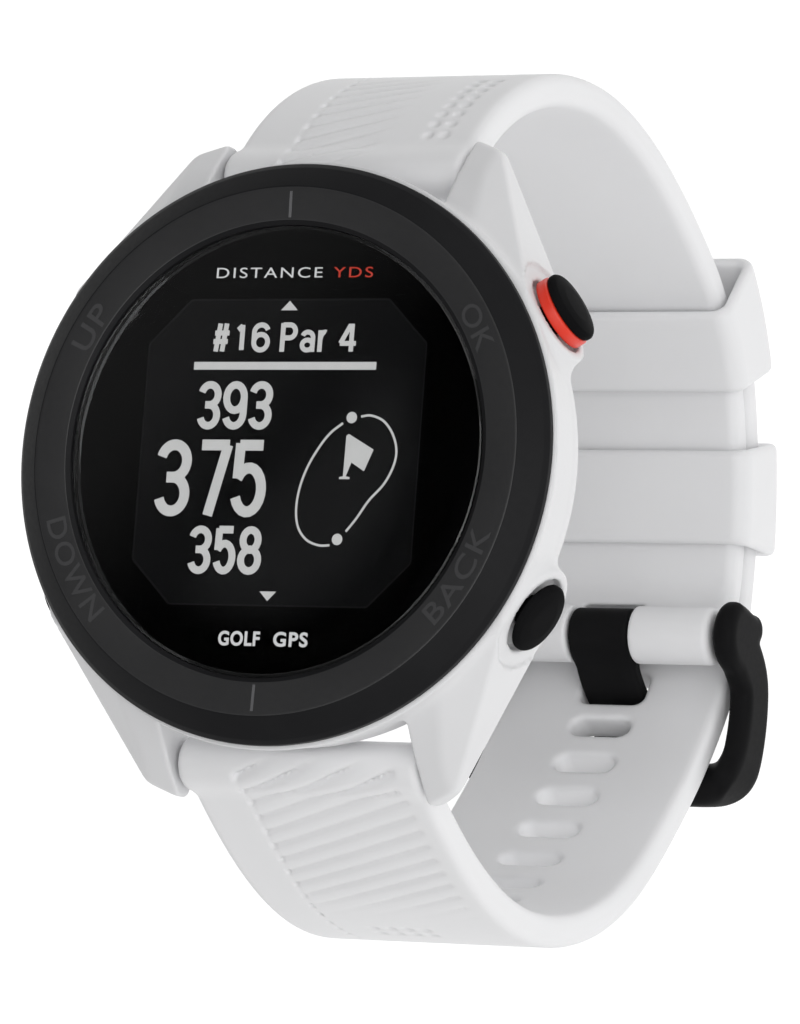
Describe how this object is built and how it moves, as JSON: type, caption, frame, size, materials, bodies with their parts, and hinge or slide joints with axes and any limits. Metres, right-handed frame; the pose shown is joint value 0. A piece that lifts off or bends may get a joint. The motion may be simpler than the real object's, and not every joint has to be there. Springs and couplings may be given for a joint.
{
  "type": "golf gps watch",
  "caption": "Round golf GPS watch with four side buttons, black bezel and a buckled white silicone strap with keepers and quick-release bars.",
  "frame": {"origin": "centre of the case back's outer face, where the watch lies on the wrist", "axes": "+X to 3 o'clock, +Y to 12 o'clock, +Z out of the dial"},
  "size_m": [0.0436, 0.0674, 0.0728],
  "materials": {
    "case_white": "moulded white polymer",
    "bezel_black": "black polymer, fine matte",
    "seal_rubber": "nitrile seal",
    "lens_glass": "clear cover lens",
    "display_dark": "reflective display panel",
    "light_guide_clear": "clear light guide",
    "inner_plastic": "glass filled polymer",
    "antenna_ceramic": "plated ceramic",
    "flex_film": "polyimide film",
    "board_green": "solder mask",
    "shield_metal": "plated steel",
    "chip_black": "moulded package",
    "battery_foil": "pouch foil",
    "pad_foam": "foam pad",
    "lead_red": "insulated lead",
    "gold_contact": "gold plated",
    "brass_insert": "knurled brass",
    "steel": "stainless steel",
    "button_black": "black cap, satin",
    "accent_red": "red accent",
    "strap_silicone": "soft white silicone, matte",
    "buckle_black": "black polymer, satin"
  },
  "bodies": {
    "case": {"case_housing": "case_white", "bezel": "bezel_black", "bezel_seal": "seal_rubber", "lens": "lens_glass", "lens_gasket": "seal_rubber", "display_panel": "display_dark", "light_guide": "light_guide_clear", "display_frame": "inner_plastic", "gps_antenna": "antenna_ceramic", "display_flex": "flex_film", "main_board": "board_green", "board_shield": "shield_metal", "processor": "chip_black", "board_connector": "inner_plastic", "ok_switch": "shield_metal", "back_switch": "shield_metal", "up_switch": "shield_metal", "down_switch": "shield_metal", "battery": "battery_foil", "battery_pad": "pad_foam", "battery_lead": "lead_red", "charge_contacts": "gold_contact", "back_cover": "case_white", "back_seal": "seal_rubber", "case_screws": "steel", "screw_inserts": "brass_insert"},
    "ok_key": {"ok_button": "button_black", "ok_button_ring": "accent_red", "ok_button_seal": "seal_rubber", "ok_button_clip": "steel"},
    "back_key": {"back_button": "button_black", "back_button_seal": "seal_rubber", "back_button_clip": "steel"},
    "up_key": {"up_button": "button_black", "up_button_seal": "seal_rubber", "up_button_clip": "steel"},
    "down_key": {"down_button": "button_black", "down_button_seal": "seal_rubber", "down_button_clip": "steel"},
    "strap_loop": {"strap_upper": "strap_silicone", "strap_lower": "strap_silicone", "upper_spring_bar": "steel", "lower_spring_bar": "steel"},
    "upper_release": {"upper_release_pin": "steel"},
    "lower_release": {"lower_release_pin": "steel"},
    "buckle": {"buckle_frame": "buckle_black", "buckle_pin": "steel"},
    "tongue": {"buckle_tongue": "buckle_black"},
    "inner_keeper": {"keeper_inner": "strap_silicone"},
    "outer_keeper": {"keeper_outer": "strap_silicone"}
  },
  "joints": [
    {"name": "ok_press", "type": "slide", "parent": "case", "child": "ok_key", "axis": [-0.866, -0.5, 0], "range_m": [0, 0.0006], "stiffness_N_per_m": 3000},
    {"name": "back_press", "type": "slide", "parent": "case", "child": "back_key", "axis": [-0.866, 0.5, 0], "range_m": [0, 0.0006], "stiffness_N_per_m": 3000},
    {"name": "up_press", "type": "slide", "parent": "case", "child": "up_key", "axis": [0.866, -0.5, 0], "range_m": [0, 0.0006], "stiffness_N_per_m": 3000},
    {"name": "down_press", "type": "slide", "parent": "case", "child": "down_key", "axis": [0.866, 0.5, 0], "range_m": [0, 0.0006], "stiffness_N_per_m": 3000},
    {"name": "strap_swing", "type": "hinge", "parent": "case", "child": "strap_loop", "pos_m": [0, 0.0222, 0.00175], "axis": [1, 0, 0], "range_deg": [0, 80]},
    {"name": "upper_release_slide", "type": "slide", "parent": "strap_loop", "child": "upper_release", "axis": [-1, 0, 0], "range_m": [0, 0.0013], "stiffness_N_per_m": 800},
    {"name": "lower_release_slide", "type": "slide", "parent": "strap_loop", "child": "lower_release", "axis": [-1, 0, 0], "range_m": [0, 0.0013], "stiffness_N_per_m": 800},
    {"name": "buckle_hinge", "type": "hinge", "parent": "strap_loop", "child": "buckle", "pos_m": [0, -0.0052, -0.0521], "axis": [1, 0, 0], "range_deg": [0, 4]},
    {"name": "tongue_hinge", "type": "hinge", "parent": "buckle", "child": "tongue", "pos_m": [0, -0.0052, -0.0521], "axis": [1, 0, 0], "range_deg": [0, 2.5]},
    {"name": "inner_keeper_slide", "type": "hinge", "parent": "strap_loop", "child": "inner_keeper", "pos_m": [0, 0.0025, -0.02195], "axis": [1, 0, 0], "range_deg": [-4, 5]},
    {"name": "outer_keeper_slide", "type": "hinge", "parent": "strap_loop", "child": "outer_keeper", "pos_m": [0, 0.00729, -0.03511], "axis": [1, 0, 0], "range_deg": [-4, 7]}
  ]
}
